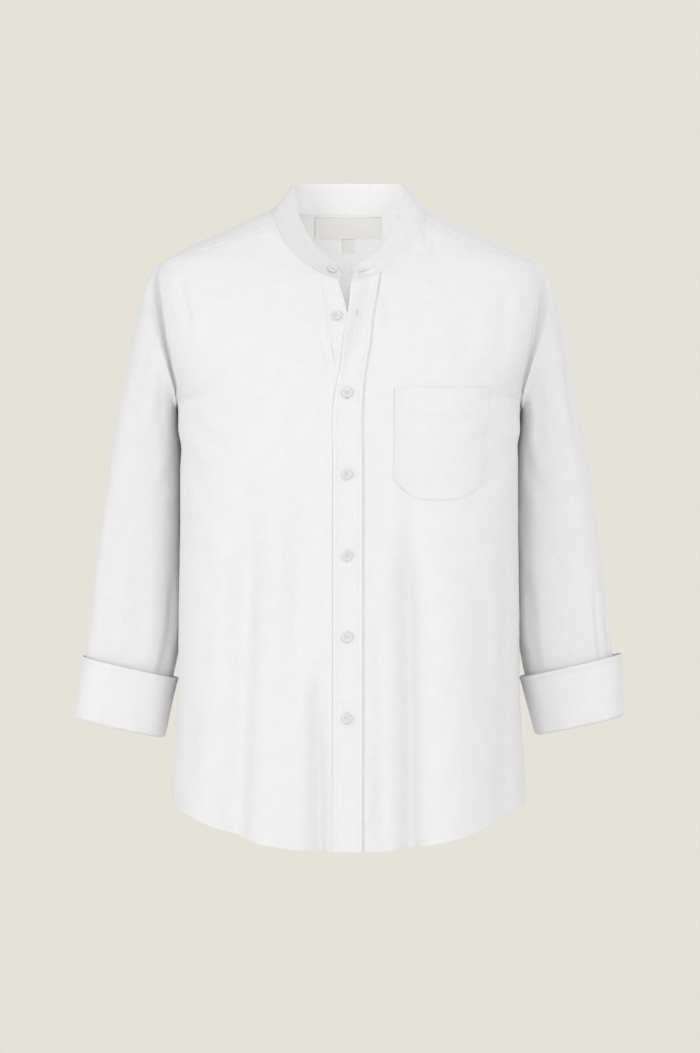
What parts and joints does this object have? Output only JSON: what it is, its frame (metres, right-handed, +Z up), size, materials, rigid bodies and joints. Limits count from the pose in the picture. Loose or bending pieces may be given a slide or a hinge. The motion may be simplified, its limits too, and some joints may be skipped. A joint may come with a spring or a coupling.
{
  "type": "mandarin collar shirt",
  "caption": "White linen shirt with a stand collar, front band, patch pocket, curved hem and long sleeves with turned-back cuffs, filled out as worn, open at the neck.",
  "frame": {"origin": "centre line of the neck, level with the points where the shoulders meet the neck seam: where the wearer's shoulders hold the shirt up", "axes": "+Z up, the shirt faces -Y, the wearer's left side is +X"},
  "size_m": [0.6344, 0.2368, 0.7625],
  "materials": {
    "linen": "matte plain-woven white linen with slubs",
    "shell": "off-white pearl-like button, semi-gloss",
    "tape": "cream woven tape, plain"
  },
  "bodies": {
    "root": {"front_left": "linen", "front_right": "linen", "back": "linen", "yoke": "linen", "placket": "linen", "button_stand": "linen", "collar": "linen", "pocket": "linen", "sleeve_left": "linen", "sleeve_right": "linen", "cuff_left": "linen", "cuff_right": "linen", "button_collar": "shell", "button_1": "shell", "button_2": "shell", "button_3": "shell", "button_4": "shell", "button_5": "shell", "button_6": "shell", "neck_label": "tape", "size_tag": "tape"}
  },
  "joints": []
}
